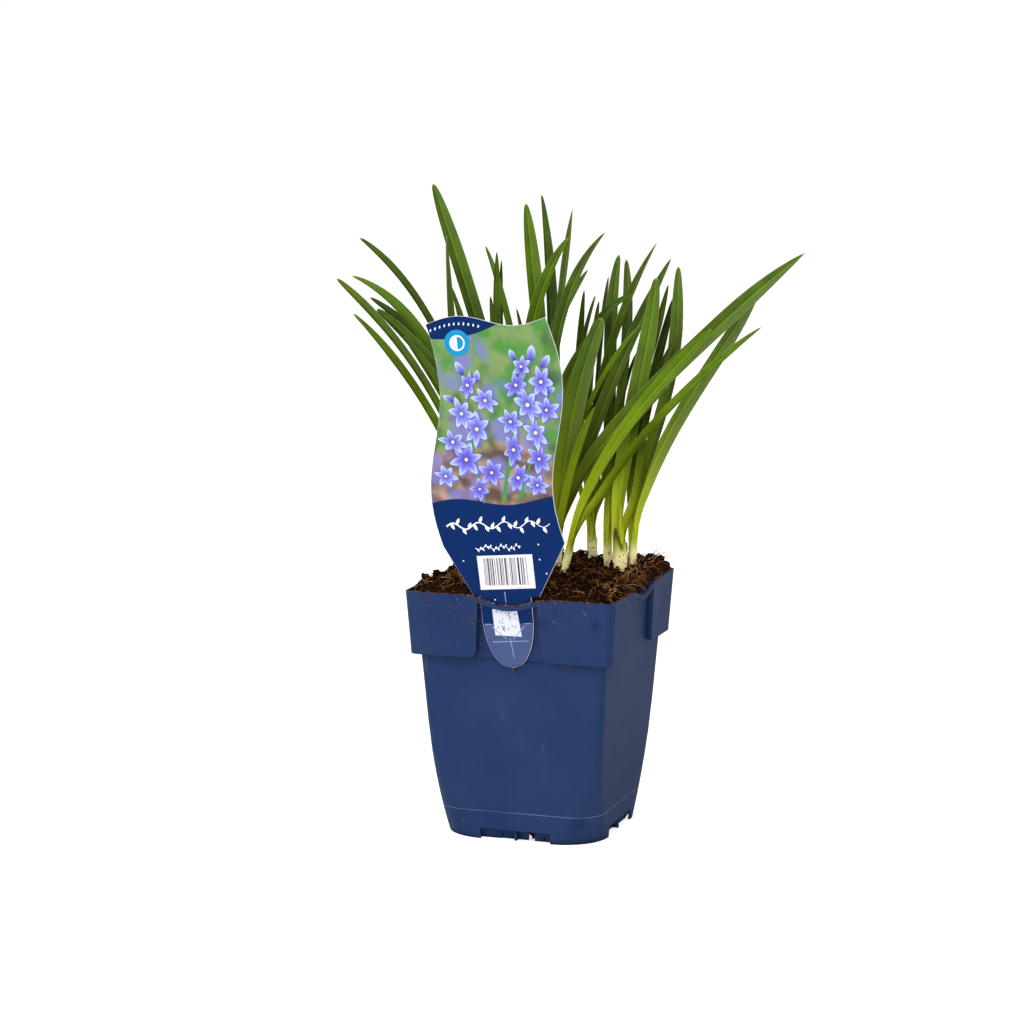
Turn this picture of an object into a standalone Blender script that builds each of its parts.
"""Potted common bluebell in leaf: square nursery pot, peat, printed plant label and eleven bulbs."""
import math
from typing import NamedTuple

import bmesh
import bpy
from mathutils import Matrix, Vector

MM = 0.001

# Pot: a square pot with a wide rim band over a tapering body
RIM_WIDTH = 110 * MM
POT_HEIGHT = 127 * MM
BAND_HEIGHT = 32 * MM
BAND_FOOT_WIDTH = 105.8 * MM
BODY_TOP_WIDTH = 98 * MM
BASE_WIDTH = 84 * MM
CORNER_RADIUS = 5 * MM
BASE_CORNER_RADIUS = 23 * MM
CORNER_SWELL_HEIGHT = 60 * MM
CORNER_STEPS = 8
WALL = 1.2 * MM
BODY_LEVELS = [0, 5 * MM, 10 * MM, 15 * MM, 22 * MM, 31 * MM, 43 * MM, 60 * MM]

# Foot: a raised floor on cross ribs, with a notch in the middle of each side
FLOOR_UNDERSIDE = 6.5 * MM
FLOOR_THICKNESS = 1.5 * MM
NOTCH_WIDTH = 37 * MM
NOTCH_HEIGHT = 5.4 * MM
PANEL_SETBACK = 3 * MM
PANEL_STEP = 0.7 * MM
PANEL_SPANS = [(-20 * MM, -8.3 * MM, 0), (-8.3 * MM, 5.8 * MM, PANEL_STEP), (9.3 * MM, 20 * MM, 0)]
PAD_RADIUS = 8 * MM
PAD_SIDES = 24
RIB_BOTTOM = 0.2 * MM
DRAIN_COUNT = 8
DRAIN_RADIUS = 4 * MM
DRAIN_RING = 24 * MM

# Label recess: a set-back panel in the middle of each side, bridged by a strap under a dipped rim
RECESS_TOP_WIDTH = 30.4 * MM
RECESS_FOOT_WIDTH = 34 * MM
RECESS_DEPTH = 3 * MM
RECESS_CORNER = 4 * MM
RECESS_CORNER_STEPS = 4
DIP_WIDTH = 46 * MM
DIP_DEPTH = 4.4 * MM
DIP_STEPS = 8
STRAP_HEIGHT = 2.4 * MM
STRAP_THICKNESS = 1.2 * MM
STRAP_INSET = 0.1 * MM

# Soil: peat heaped a little above the rim, highest at the back
SOIL_GAP = 0.3 * MM
SOIL_EDGE_HEIGHT = 124.5 * MM
SOIL_HEAP = 5.4 * MM
SOIL_BACK_RISE = 3.3 * MM
SOIL_BACK_START = 2 * MM
SOIL_BACK_END = 50 * MM
SOIL_SQUARENESS = 12
SOIL_GRID = 20
LUMP_HEIGHT = 0.45 * MM
LUMP_WAVES = [(260, 110, 0.4), (-140, 230, 1.9), (170, -190, 3.1), (310, 290, 5.2), (-370, 210, 2.4)]

# Label: a card with waved sides, a tapered foot, a shoulder and a rounded tongue
LABEL_THICKNESS = 0.6 * MM
LABEL_HALF_WIDTH = 31.8 * MM
LABEL_WAVE = 5.2 * MM
LABEL_WAVE_LENGTH = 116 * MM
LABEL_WAVE_CREST = 114 * MM
LABEL_SHIFT = 2.5 * MM
LABEL_STEPS = 12
LABEL_TOP = 144.2 * MM
LABEL_TOP_WAVE = 3 * MM
LABEL_TOP_WAVE_LENGTH = 60 * MM
LABEL_TOP_CREST = -12 * MM
LABEL_LEFT_DRAW = 1.5 * MM
LABEL_LEFT_DRAW_START = 118 * MM
LABEL_TAPER_START = 32.5 * MM
LABEL_SHOULDER_RIGHT = (17 * MM, 5.8 * MM)
LABEL_SHOULDER_LEFT = (-17.5 * MM, 7.2 * MM)
TONGUE_CENTRE = -0.9 * MM
TONGUE_HALF_WIDTH = 13.4 * MM
TONGUE_LENGTH = 30 * MM
TONGUE_STRAIGHT = 4 * MM
TONGUE_STEPS = 8
TONGUE_ROUNDNESS = 0.9
LABEL_LEAN = math.radians(4.7)
LABEL_POINT = Vector((0, -52.35, 121)) * MM

# Plants: the layout looks square at the clump from a little right of the pot's front
VIEW_TURN = math.radians(18.5)
HOLE_GAP = 0.4 * MM
ROUND_SIDES = 8
BULB_RADIUS = 4.5 * MM
BULB_LENGTH = 20 * MM
BULB_PROFILE = [(-0.5, 0.3), (-0.35, 0.85), (0, 1), (0.35, 0.6)]
NECK_TOP_SHARE = 0.75
HOLE_RISE = 25 * MM
ROOT_RISE = 3.5 * MM
ROOT_SPREAD = (0.8, 0.5)

# Blades: a channelled strap over a keel, slim in the sheath, full in the middle, pointed at the tip
BLADE_SEGMENTS = 8
BLADE_STEP_POWER = 1.4
BLADE_EDGE = 0.65 * MM
BLADE_MIDRIB = 1.1 * MM
KEEL_AT_ROOT = 1.25
KEEL_FALL = 0.6
CHANNEL_DEPTH = 0.2
SHEATH_WIDTH = 0.36
FULL_FROM = 0.38
TIP_LENGTHS = 5.6
TIP_WIDTH = 0.25
NECK_FIT = 0.9
NECK_FLARE = 30 * MM
TWIST = 24
FAN_POWER = 1.5


class Leaf(NamedTuple):
    """A leaf in mm and degrees: points (right, up) on its rib, its tip, the tip's reach to the back, and
    how drawn out its tip is."""
    vias: list
    tip: tuple
    back: float
    width: float
    turn: float
    point: float


class Plant(NamedTuple):
    """A plant in mm and degrees: its place right and behind the pot's centre, its neck and its bulb."""
    place: tuple
    neck: float
    rise: float
    lean: float
    depth: float
    leaves: list


PLANTS = {
    "plant_01": Plant((-27, 4), 2.2, 12, -4, 38, [
        Leaf([(-70, 245)], (-102, 282), -28, 5.2, 50, 0.42),
        Leaf([(-74.5, 242.6)], (-93, 266), -42, 6, 50, 0.5),
        Leaf([(-57, 233)], (-70, 251), -6, 6.2, 40, 0.6),
        Leaf([(-47.4, 262)], (-48.6, 301), 6, 7.8, 60, 0.75),
        Leaf([(-66, 247)], (-84, 264), 4, 7.2, 45, 0.38)]),
    "plant_02": Plant((-18, 24), 2.2, 12, -2, 44, [
        Leaf([(-59.1, 255.4), (-78.9, 282.2)], (-95, 296.4), 30, 5.2, 55, 0.45),
        Leaf([(-62.2, 248.2), (-84.2, 271.4)], (-97.6, 279), 4, 7.4, 45, 0.55),
        Leaf([(-67, 250)], (-89, 267), 14, 5.6, 55, 0.45),
        Leaf([(-43.3, 258)], (-47.8, 273.5), 20, 7, 40, 0.7)]),
    "plant_03": Plant((-8, 6), 2.4, 12, 0, 60, [
        Leaf([(-31.6, 250), (-42.3, 285)], (-56, 326), 20, 8.2, 25, 0.42),
        Leaf([(-18, 258)], (-29, 296), 0, 5.6, 45, 0.5),
        Leaf([(-23.5, 259)], (-23, 295), -22, 5, 55, 0.6),
        Leaf([(-9, 205), (-3.6, 264.6)], (12.4, 302), -24, 7.2, 30, 0.45),
        Leaf([(-25, 260)], (-26, 274), -34, 4.5, 50, 0.5)]),
    "plant_04": Plant((2, 36), 2.2, 12, 0, 40, [
        Leaf([(-4, 270)], (-9, 315), 8, 8.2, 20, 0.45),
        Leaf([(2.2, 286)], (-1, 319), 20, 8.6, 45, 0.5),
        Leaf([(-22.4, 252)], (-21.8, 284.6), 26, 3.6, 60, 0.6),
        Leaf([(-11.8, 253)], (-13.6, 262.4), -6, 4.5, 50, 0.5)]),
    "plant_05": Plant((-4, 19), 2.2, 12, 2, 52, [
        Leaf([(11, 279)], (15, 312), 30, 5.5, 55, 0.85),
        Leaf([(9.8, 258.2), (21, 287)], (31.4, 301.8), 4, 7, 40, 0.65),
        Leaf([(11, 262)], (23, 282), 15, 6, 50, 0.6),
        Leaf([(4.5, 198), (12.4, 226)], (26.5, 253), -8, 9.4, 35, 0.5)]),
    "plant_06": Plant((7, 19), 2.6, 14, 4, 34, [
        Leaf([(23, 183), (71.2, 239.4), (105, 273)], (129.6, 294.8), -38, 9.2, 30, 0.75),
        Leaf([(21.6, 187), (46.8, 249.6)], (65.3, 288), 11, 7.6, 35, 0.65),
        Leaf([(8.8, 158), (21.6, 238)], (29.4, 261.6), -30, 11.6, 15, 0.33),
        Leaf([(13, 182), (29, 226)], (49, 257), -16, 3.8, 50, 0.85),
        Leaf([(15, 182)], (26, 216), -24, 5, 40, 0.6),
        Leaf([(19.4, 243)], (21, 272), 8, 5.6, 45, 0.5)]),
    "plant_07": Plant((11, 5), 1.7, 18, 15, 30, [
        Leaf([(21, 167), (57, 227)], (83, 258), -36, 6.6, 35, 0.5),
        Leaf([(32, 174), (71.1, 224)], (108.2, 258.6), -30, 5.4, 45, 0.65),
        Leaf([(29, 183)], (63, 227), -14, 6.5, 50, 0.6)]),
    "plant_08": Plant((26, 31), 2.3, 14, 0, 42, [
        Leaf([(31.5, 160), (35.4, 222)], (39.3, 288.4), 18, 7.8, 40, 0.42),
        Leaf([(25.5, 196), (39.8, 255.6)], (58, 295.8), 2, 5.6, 45, 0.8),
        Leaf([(25, 200), (31, 259)], (47, 271), -6, 5.4, 40, 0.6),
        Leaf([(24, 257)], (27, 268), 12, 4.2, 50, 0.5),
        Leaf([(28, 256)], (29, 264), 22, 4, 50, 0.5),
        Leaf([(32, 259)], (34, 276), 30, 4.4, 55, 0.5)]),
    "plant_09": Plant((34, 17), 2.3, 8, 1, 88, [
        Leaf([(36, 180), (44, 256)], (43, 286), 32, 6.2, 40, 0.42),
        Leaf([(41, 215)], (48, 239), 18, 4.2, 50, 0.5),
        Leaf([(38, 175), (54, 235)], (64, 275), 12, 5, 50, 0.6)]),
    "plant_10": Plant((40, 8), 3.3, 16, 0, 26, [
        Leaf([(40.4, 176), (53.5, 248)], (57.6, 279), 12, 9.4, 25, 0.36),
        Leaf([(46.5, 160), (58, 226)], (71.4, 254.2), 8, 5, 50, 0.6)]),
    "plant_11": Plant((46.3, 15), 1.9, 14, 2, 62, [
        Leaf([(51, 177), (66.2, 232), (69, 260)], (69.2, 284), 14, 7.4, 35, 0.42),
        Leaf([(52.4, 171), (81.7, 226.8)], (112.8, 276), 24, 8, -20, 0.6),
        Leaf([(47.6, 188), (58.2, 232)], (66.8, 267), 22, 5.6, 45, 0.5)]),
}

BAND_FOOT = POT_HEIGHT - BAND_HEIGHT


def make_material(name, colour, roughness, metallic=0.0):
    """A Principled material with one colour."""
    material = bpy.data.materials.new(name)
    material.use_nodes = True
    shader = material.node_tree.nodes["Principled BSDF"]
    shader.inputs["Base Color"].default_value = (*colour, 1)
    shader.inputs["Roughness"].default_value = roughness
    shader.inputs["Metallic"].default_value = metallic
    material.diffuse_color = (*colour, 1)
    return material


def object_from_bmesh(name, bm, material=None):
    """Turn a bmesh with outward faces into an object of the scene."""
    bmesh.ops.recalc_face_normals(bm, faces=bm.faces[:])
    mesh = bpy.data.meshes.new(name)
    bm.to_mesh(mesh)
    bm.free()
    if material:
        mesh.materials.append(material)
    obj = bpy.data.objects.new(name, mesh)
    bpy.context.scene.collection.objects.link(obj)
    return obj


def loft(name, rings, material=None):
    """A closed solid through rings of equally many points."""
    bm = bmesh.new()
    layers = [[bm.verts.new(point) for point in ring] for ring in rings]
    count = len(layers[0])
    for lower, upper in zip(layers, layers[1:]):
        for k in range(count):
            after = (k + 1) % count
            bm.faces.new((lower[k], lower[after], upper[after], upper[k]))
    bm.faces.new(layers[0])
    bm.faces.new(layers[-1])
    return object_from_bmesh(name, bm, material)


def box(name, low, high, material=None):
    """An axis-aligned box between two corners."""
    bm = bmesh.new()
    size = Vector(high) - Vector(low)
    centre = (Vector(high) + Vector(low)) / 2
    bmesh.ops.create_cube(bm, size=1, matrix=Matrix.Translation(centre) @ Matrix.Diagonal((*size, 1)))
    return object_from_bmesh(name, bm, material)


def cylinder(name, radius, bottom, top, centre=(0, 0), sides=8):
    """An upright cylinder."""
    ring = [(centre[0] + radius * math.cos(math.tau * k / sides),
             centre[1] + radius * math.sin(math.tau * k / sides)) for k in range(sides)]
    return loft(name, [[(x, y, z) for x, y in ring] for z in (bottom, top)])


def quarter_turned(obj, quarter):
    """Turn an object's mesh by quarters about the pot's axis."""
    obj.data.transform(Matrix.Rotation(quarter * math.pi / 2, 4, "Z"))
    return obj


def combine(target, tools, operation, solver="EXACT"):
    """Apply one Boolean of a collection of tools to the target and remove the tools."""
    collection = bpy.data.collections.new("tools")
    for tool in tools:
        collection.objects.link(tool)
    modifier = target.modifiers.new("combine", "BOOLEAN")
    modifier.operation = operation
    modifier.solver = solver
    modifier.operand_type = "COLLECTION"
    modifier.collection = collection
    bpy.context.view_layer.update()
    depsgraph = bpy.context.evaluated_depsgraph_get()
    result = bpy.data.meshes.new_from_object(target.evaluated_get(depsgraph))
    target.modifiers.clear()
    target.data = result
    for tool in tools:
        bpy.data.objects.remove(tool)
    bpy.data.collections.remove(collection)
    return target


def between(low, high, share):
    """The value a share of the way from one to another."""
    return low + (high - low) * share


def smooth(low, high, value):
    """A soft step from 0 to 1 between two values."""
    share = min(1, max(0, (value - low) / (high - low)))
    return share * share * (3 - 2 * share)


def rounded_square(half, radius, z):
    """Points round a square with rounded corners."""
    points = []
    for quarter in range(4):
        turn = Matrix.Rotation(quarter * math.pi / 2, 3, "Z")
        for step in range(CORNER_STEPS + 1):
            angle = math.pi / 2 * step / CORNER_STEPS
            corner = Vector((half - radius + radius * math.cos(angle),
                             half - radius + radius * math.sin(angle), 0))
            points.append(turn @ corner + Vector((0, 0, z)))
    return points


def body_section(z, inset=0):
    """The body's outline at a height, set in from its outer face."""
    half = between(BASE_WIDTH, BODY_TOP_WIDTH, z / BAND_FOOT) / 2
    swell = max(0, 1 - z / CORNER_SWELL_HEIGHT) ** 2
    radius = between(CORNER_RADIUS, BASE_CORNER_RADIUS, swell)
    return rounded_square(half - inset, radius - inset, z)


def band_half_width(z):
    """Half the rim band's width at a height."""
    return between(BAND_FOOT_WIDTH, RIM_WIDTH, (z - BAND_FOOT) / BAND_HEIGHT) / 2


def band_section(z, inset=0):
    """The rim band's outline at a height, set in from its outer face."""
    return rounded_square(band_half_width(z) - inset, CORNER_RADIUS - inset, z)


def rim_dip(x):
    """How far the rim dips at a place along a side."""
    if abs(x) >= DIP_WIDTH / 2:
        return 0
    return DIP_DEPTH * (1 + math.cos(math.tau * x / DIP_WIDTH)) / 2


def recess_prism(name, grow, depth):
    """The space of the label recess on the front side, with its outline grown and its panel moved."""
    top_half = RECESS_TOP_WIDTH / 2 + grow
    foot_half = RECESS_FOOT_WIDTH / 2 + grow
    corner = RECESS_CORNER - grow
    corner_x = foot_half + corner
    outline = [(top_half, POT_HEIGHT + 5 * MM)]
    corner_z = BAND_FOOT + RECESS_CORNER
    for step in range(RECESS_CORNER_STEPS + 1):
        angle = math.pi / 2 * step / RECESS_CORNER_STEPS
        outline.append((corner_x - corner * math.cos(angle), corner_z - corner * math.sin(angle)))
    outline.append((corner_x, BAND_FOOT + grow - 3 * MM))
    full = outline + [(-x, z) for x, z in reversed(outline)]
    front = [(x, -RIM_WIDTH, z) for x, z in full]
    back = [(x, -band_half_width(z) + depth, z) for x, z in full]
    return loft(name, [front, back])


def inner_space(name, clearance, top):
    """The pot's inside, kept a clearance away from its walls and recess panels."""
    inset = WALL + clearance
    floor = FLOOR_UNDERSIDE + FLOOR_THICKNESS + clearance
    levels = [floor] + [z for z in BODY_LEVELS if z > floor]
    ledge = BAND_FOOT + WALL + clearance
    rings = [body_section(z, inset) for z in levels]
    rings += [body_section(ledge, inset), band_section(ledge, inset), band_section(top, inset)]
    space = loft(name, rings)
    backings = [quarter_turned(recess_prism("backing", inset, RECESS_DEPTH + inset), k) for k in range(4)]
    return combine(space, backings, "DIFFERENCE")


def make_strap(material):
    """The bar that bridges the recess at the dipped rim."""
    reach = RECESS_TOP_WIDTH / 2 + 2 * MM
    rings = []
    for step in range(DIP_STEPS + 1):
        x = between(-reach, reach, step / DIP_STEPS)
        top = POT_HEIGHT - rim_dip(x) - STRAP_INSET / 2
        face = -band_half_width(top) + STRAP_INSET
        rings.append([(x, face, top), (x, face + STRAP_THICKNESS, top),
                      (x, face + STRAP_THICKNESS, top - STRAP_HEIGHT), (x, face, top - STRAP_HEIGHT)])
    return loft("strap", rings, material)


def dip_cutter():
    """The rim's dips on two opposite sides."""
    profile = []
    for step in range(DIP_STEPS + 1):
        x = between(-DIP_WIDTH, DIP_WIDTH, step / DIP_STEPS) / 2
        profile.append((x, POT_HEIGHT - rim_dip(x) + (0.02 * MM if abs(x) >= DIP_WIDTH / 2 else 0)))
    profile += [(DIP_WIDTH / 2, POT_HEIGHT + 5 * MM), (-DIP_WIDTH / 2, POT_HEIGHT + 5 * MM)]
    return loft("dip", [[(x, y, z) for x, z in profile] for y in (-RIM_WIDTH, RIM_WIDTH)])


def foot_pieces():
    """The ribs, pad and set-back panels that carry the floor."""
    reach = BASE_WIDTH / 2 - WALL / 2
    top = FLOOR_UNDERSIDE + FLOOR_THICKNESS / 2
    pieces = [cylinder("pad", PAD_RADIUS, 0, top, sides=PAD_SIDES)]
    pieces.append(box("rib", (-reach, -WALL / 2, RIB_BOTTOM), (reach, WALL / 2, top)))
    pieces.append(box("rib", (-WALL / 2, -reach, RIB_BOTTOM), (WALL / 2, reach, top)))
    face = -BASE_WIDTH / 2 + PANEL_SETBACK
    for quarter in range(4):
        for left, right, step in PANEL_SPANS:
            panel = box("panel", (left, face + step, RIB_BOTTOM), (right, face + step + WALL, top))
            pieces.append(quarter_turned(panel, quarter))
    return pieces


def make_pot(material):
    """The moulded pot: walls, recesses, dips, straps, raised floor, foot and drain holes."""
    rings = [body_section(z) for z in BODY_LEVELS]
    rings += [body_section(BAND_FOOT), band_section(BAND_FOOT), band_section(POT_HEIGHT)]
    pot = loft("pot", rings, material)
    recesses = [quarter_turned(recess_prism("recess", 0, RECESS_DEPTH), k) for k in range(4)]
    combine(pot, recesses, "DIFFERENCE")
    combine(pot, [inner_space("inside", 0, POT_HEIGHT + 8 * MM)], "DIFFERENCE")
    combine(pot, [dip_cutter(), quarter_turned(dip_cutter(), 1)], "DIFFERENCE")
    combine(pot, [quarter_turned(make_strap(material), k) for k in range(4)], "UNION")
    levels = [-MM, BODY_LEVELS[1], FLOOR_UNDERSIDE]
    underside = loft("underside", [body_section(z, WALL) for z in levels])
    combine(pot, [underside], "DIFFERENCE")
    low = (-NOTCH_WIDTH / 2, -BASE_WIDTH, -MM)
    high = (NOTCH_WIDTH / 2, -BASE_WIDTH / 2 + 2 * WALL, NOTCH_HEIGHT)
    combine(pot, [quarter_turned(box("notch", low, high), k) for k in range(4)], "DIFFERENCE")
    combine(pot, foot_pieces(), "UNION")
    drains = []
    for k in range(DRAIN_COUNT):
        angle = math.tau * (k + 0.5) / DRAIN_COUNT
        centre = (DRAIN_RING * math.cos(angle), DRAIN_RING * math.sin(angle))
        drains.append(cylinder("drain", DRAIN_RADIUS, FLOOR_UNDERSIDE - MM, 2 * FLOOR_UNDERSIDE, centre))
    return combine(pot, drains, "DIFFERENCE")


def soil_height(x, y):
    """The peat's height: a heap that falls to the pot's walls, with lumps."""
    reach = (abs(x) ** 6 + abs(y) ** 6) ** (1 / 6) / (RIM_WIDTH / 2)
    rise = SOIL_HEAP + SOIL_BACK_RISE * smooth(SOIL_BACK_START, SOIL_BACK_END, y)
    lumps = sum(math.sin(a * x + b * y + c) for a, b, c in LUMP_WAVES)
    return SOIL_EDGE_HEIGHT + rise * (1 - min(1, reach) ** SOIL_SQUARENESS) + LUMP_HEIGHT * lumps


def plant_place(place):
    """The point of the soil's surface at a place given right and behind in the turned layout, in mm."""
    point = Matrix.Rotation(VIEW_TURN, 3, "Z") @ (Vector((place[0], place[1], 0)) * MM)
    point.z = soil_height(point.x, point.y)
    return point


def make_soil(material):
    """The body of peat, cut to the pot's inside, with a plain hole for each bulb and neck."""
    bm = bmesh.new()
    bmesh.ops.create_grid(bm, x_segments=SOIL_GRID, y_segments=SOIL_GRID, size=RIM_WIDTH / 2)
    for vert in bm.verts:
        vert.co.z = soil_height(vert.co.x, vert.co.y)
    rim = [edge for edge in bm.edges if edge.is_boundary]
    skirt = bmesh.ops.extrude_edge_only(bm, edges=rim)["geom"]
    foot = [item for item in skirt if isinstance(item, bmesh.types.BMVert)]
    for vert in foot:
        vert.co.z = FLOOR_UNDERSIDE
    bmesh.ops.contextual_create(bm, geom=[edge for edge in bm.edges if edge.is_boundary])
    soil = object_from_bmesh("soil", bm, material)
    combine(soil, [inner_space("space", SOIL_GAP, POT_HEIGHT + 20 * MM)], "INTERSECT")
    holes = []
    for plant in PLANTS.values():
        hole = neck_and_bulb("hole", plant, HOLE_RISE, HOLE_GAP)
        ground = Matrix.Translation(plant_place(plant.place))
        hole.data.transform(ground @ Matrix.Rotation(VIEW_TURN, 4, "Z"))
        holes.append(hole)
    return combine(soil, holes, "DIFFERENCE")


def neck_and_bulb(name, plant, rise, grow=0, material=None):
    """A bulb under a slim neck, on one axis that leans to the right of the layout."""
    bulb = BULB_RADIUS + grow
    neck = plant.neck * MM + grow
    profile = []
    for height, share in BULB_PROFILE:
        level = height * BULB_LENGTH + math.copysign(grow, height)
        profile.append((level - plant.depth * MM, bulb * share))
    profile.append((BULB_LENGTH / 2 + grow - plant.depth * MM, neck))
    profile.append((0, neck))
    profile.append((rise, neck if grow else neck * NECK_TOP_SHARE))
    axis = Matrix.Rotation(math.radians(plant.lean), 3, "Y")
    rings = []
    for z, radius in profile:
        rings.append([axis @ Vector((radius * math.cos(math.tau * k / ROUND_SIDES),
                                     radius * math.sin(math.tau * k / ROUND_SIDES), z))
                      for k in range(ROUND_SIDES)])
    return loft(name, rings, material)


def curve_through(points):
    """The smooth curve through a few points, as a function of its share of the way along them."""
    knots = [0]
    for before, after in zip(points, points[1:]):
        knots.append(knots[-1] + math.hypot(after[0] - before[0], after[2] - before[2]))
    knots = [knot / knots[-1] for knot in knots]

    def place(share):
        total = Vector((0, 0, 0))
        for i, point in enumerate(points):
            weight = 1
            for j, knot in enumerate(knots):
                if j != i:
                    weight *= (share - knot) / (knots[i] - knot)
            total += Vector(point) * weight
        return total
    return place


def blade_width(share, leaf, length):
    """A strap leaf's width along its length: it swells from the sheath and ends in its own kind of tip."""
    full = leaf.width * MM * between(SHEATH_WIDTH, 1, smooth(0, FULL_FROM, share))
    from_tip = min(1, (1 - share) * length / (leaf.width * MM * TIP_LENGTHS))
    return full * max(TIP_WIDTH, math.sin(math.pi / 2 * from_tip) ** leaf.point)


def blade_frame(path, back, share, turn):
    """The rib's point at a share of its length, with the blade's side and its upper face's normal."""
    rib = []
    for value in (share, max(0, share - 0.01), min(1, share + 0.01)):
        point = path(value)
        point.y = path(0).y + back * value ** FAN_POWER
        rib.append(point)
    centre, before, after = rib
    along = (after - before).normalized()
    across = along.cross(Vector((0, -1, 0))).normalized()
    facing = across.cross(along).normalized()
    if facing.y > 0:
        facing = -facing
    normal = facing * math.cos(turn) + across * math.sin(turn)
    return centre, along.cross(normal).normalized(), normal


def make_blade(root, leaf, rib_points, twist, neck):
    """One strap leaf: a channelled blade with a keel, on a rib through its own points."""
    path = curve_through([root] + rib_points)
    places = [path(step / BLADE_SEGMENTS) for step in range(BLADE_SEGMENTS + 1)]
    length = sum((after - before).length for before, after in zip(places, places[1:]))
    side_sign = -1 if rib_points[-1].x > root.x else 1
    bm = bmesh.new()
    sections = []
    for step in range(BLADE_SEGMENTS + 1):
        share = 1 - (1 - step / BLADE_SEGMENTS) ** BLADE_STEP_POWER
        turn = math.radians(leaf.turn + twist * (share - 0.5)) * side_sign
        centre, side, normal = blade_frame(path, leaf.back * MM, share, turn)
        half = min(blade_width(share, leaf, length) / 2, neck * NECK_FIT + share * NECK_FLARE)
        keel = max(BLADE_EDGE, BLADE_MIDRIB * (KEEL_AT_ROOT - KEEL_FALL * share))
        lift = 2 * half * CHANNEL_DEPTH
        layout = [(-half, lift), (0, 0), (half, lift), (half, lift - BLADE_EDGE), (0, -keel),
                  (-half, lift - BLADE_EDGE)]
        sections.append([bm.verts.new(centre + side * s + normal * n) for s, n in layout])
    for lower, upper in zip(sections, sections[1:]):
        for k in range(6):
            after = (k + 1) % 6
            if k < 3:
                bm.faces.new((lower[k], lower[after], upper[after]))
                bm.faces.new((lower[k], upper[after], upper[k]))
            else:
                bm.faces.new((lower[k], lower[after], upper[k]))
                bm.faces.new((lower[after], upper[after], upper[k]))
    for section in (sections[0], sections[-1]):
        for a, b, c, d in ((0, 1, 4, 5), (1, 2, 3, 4)):
            bm.faces.new((section[a], section[b], section[c], section[d]))
    return object_from_bmesh("blade", bm)


def make_plant(name, plant, material):
    """One bulb with its neck and its strap leaves, fused into one solid."""
    neck = plant.neck * MM
    ground = plant_place(plant.place)
    solid = neck_and_bulb(name, plant, plant.rise * MM, material=material)
    lean_shift = math.tan(math.radians(plant.lean)) * ROOT_RISE
    blades = []
    for index, leaf in enumerate(plant.leaves):
        spread = neck * ((index + 0.5) / len(plant.leaves) - 0.5)
        root = Vector((lean_shift + spread * ROOT_SPREAD[0], -spread * ROOT_SPREAD[1], ROOT_RISE))
        origin = Vector((plant.place[0], 0, ground.z / MM))
        rib_points = [(Vector((u, 0, z)) - origin) * MM for u, z in leaf.vias + [leaf.tip]]
        twist = TWIST if index % 2 else -TWIST
        blades.append(make_blade(root, leaf, rib_points, twist, neck))
    combine(solid, blades, "UNION", "MANIFOLD")
    solid.location = ground
    solid.rotation_euler.z = VIEW_TURN
    return solid


def label_side(t, sign):
    """One side of the label's waved strip at a height on it; the left one draws in near the top."""
    middle = LABEL_SHIFT + LABEL_WAVE * math.cos(math.tau * (t - LABEL_WAVE_CREST) / LABEL_WAVE_LENGTH)
    draw = LABEL_LEFT_DRAW * smooth(LABEL_LEFT_DRAW_START, LABEL_TOP, t) if sign < 0 else 0
    return middle + sign * (LABEL_HALF_WIDTH - draw)


def tongue_side(sign):
    """Half of the label's round tongue, from its tip up to its straight part."""
    points = []
    for step in range(TONGUE_STEPS + 1):
        angle = math.pi / 2 * step / TONGUE_STEPS
        s = TONGUE_CENTRE + sign * TONGUE_HALF_WIDTH * math.sin(angle) ** TONGUE_ROUNDNESS
        points.append((s, -TONGUE_LENGTH + (TONGUE_LENGTH - TONGUE_STRAIGHT) * (1 - math.cos(angle))))
    return points


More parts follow.
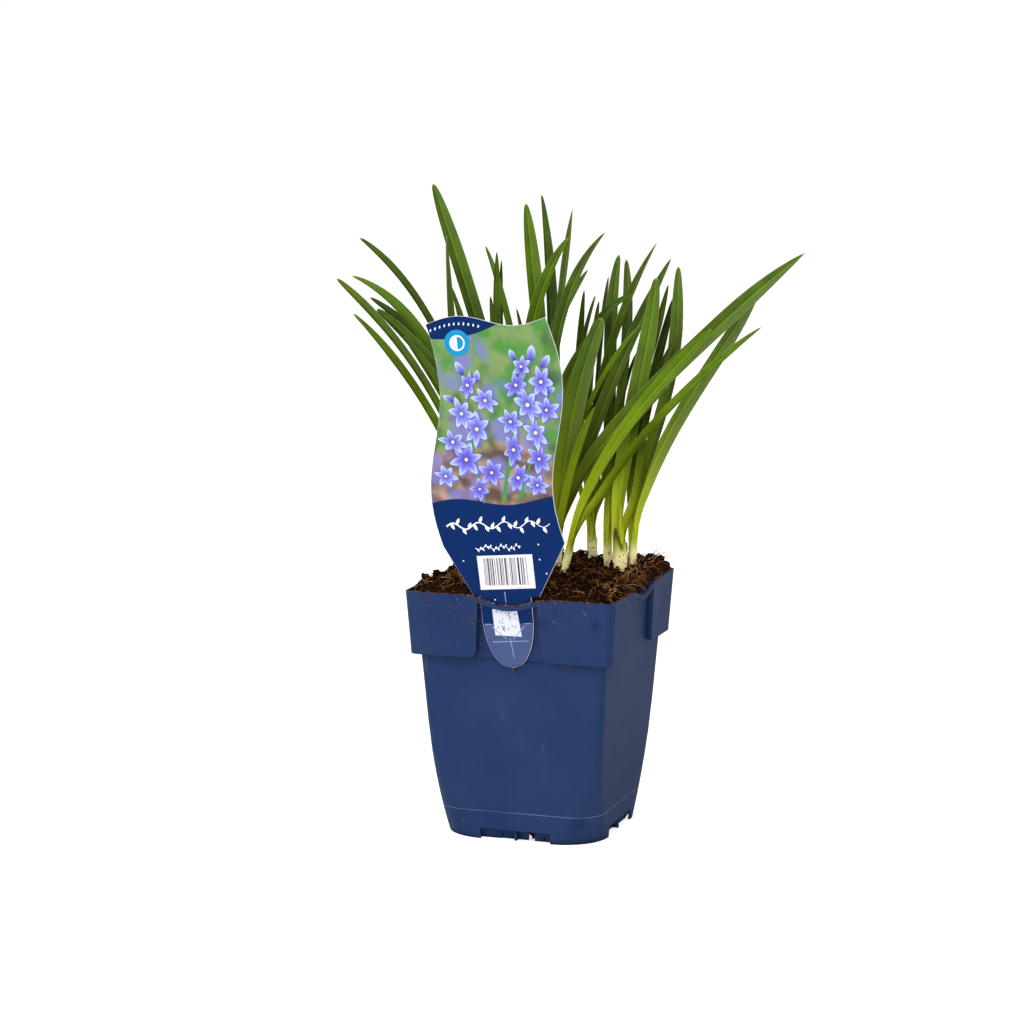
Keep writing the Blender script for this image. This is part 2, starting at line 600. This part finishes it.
def label_outline():
    """The label's outline, from its tongue's tip up the right side and down the left."""
    heights = [between(LABEL_TAPER_START, LABEL_TOP, step / LABEL_STEPS) for step in range(LABEL_STEPS)]
    points = tongue_side(1)
    points.append((TONGUE_CENTRE + TONGUE_HALF_WIDTH, LABEL_SHOULDER_RIGHT[1]))
    points.append(LABEL_SHOULDER_RIGHT)
    points += [(label_side(t, 1), t) for t in heights]
    for step in range(LABEL_STEPS + 1):
        s = between(label_side(LABEL_TOP, 1), label_side(LABEL_TOP, -1), step / LABEL_STEPS)
        wave = math.cos(math.tau * (s - LABEL_TOP_CREST) / LABEL_TOP_WAVE_LENGTH)
        points.append((s, LABEL_TOP + LABEL_TOP_WAVE * wave))
    points += [(label_side(t, -1), t) for t in reversed(heights)]
    points.append(LABEL_SHOULDER_LEFT)
    points.append((TONGUE_CENTRE - TONGUE_HALF_WIDTH, LABEL_SHOULDER_LEFT[1]))
    points += reversed(tongue_side(-1)[1:])
    return points


def make_label(material):
    """The plastic card, standing in the front recess behind its strap."""
    outline = label_outline()
    half = LABEL_THICKNESS / 2
    label = loft("label", [[(s, y, t) for s, t in outline] for y in (-half, half)], material)
    draft = math.atan2((RIM_WIDTH - BAND_FOOT_WIDTH) / 2, BAND_HEIGHT)
    label.rotation_euler = (draft, -LABEL_LEAN, 0)
    label.location = LABEL_POINT
    return label


def main():
    """Build every piece under one empty."""
    for obj in list(bpy.data.objects):
        bpy.data.objects.remove(obj)
    plastic = make_material("blue_polypropylene", (0.031, 0.055, 0.135), 0.45)
    peat = make_material("moist_peat", (0.016, 0.007, 0.003), 0.95)
    card = make_material("printed_plastic_card", (0.02, 0.055, 0.14), 0.3)
    green = make_material("strap_leaf", (0.06, 0.16, 0.02), 0.4)
    root = bpy.data.objects.new("potted_bluebell", None)
    bpy.context.scene.collection.objects.link(root)
    pieces = [make_pot(plastic), make_soil(peat), make_label(card)]
    pieces += [make_plant(name, plant, green) for name, plant in PLANTS.items()]
    for piece in pieces:
        piece.parent = root


main()
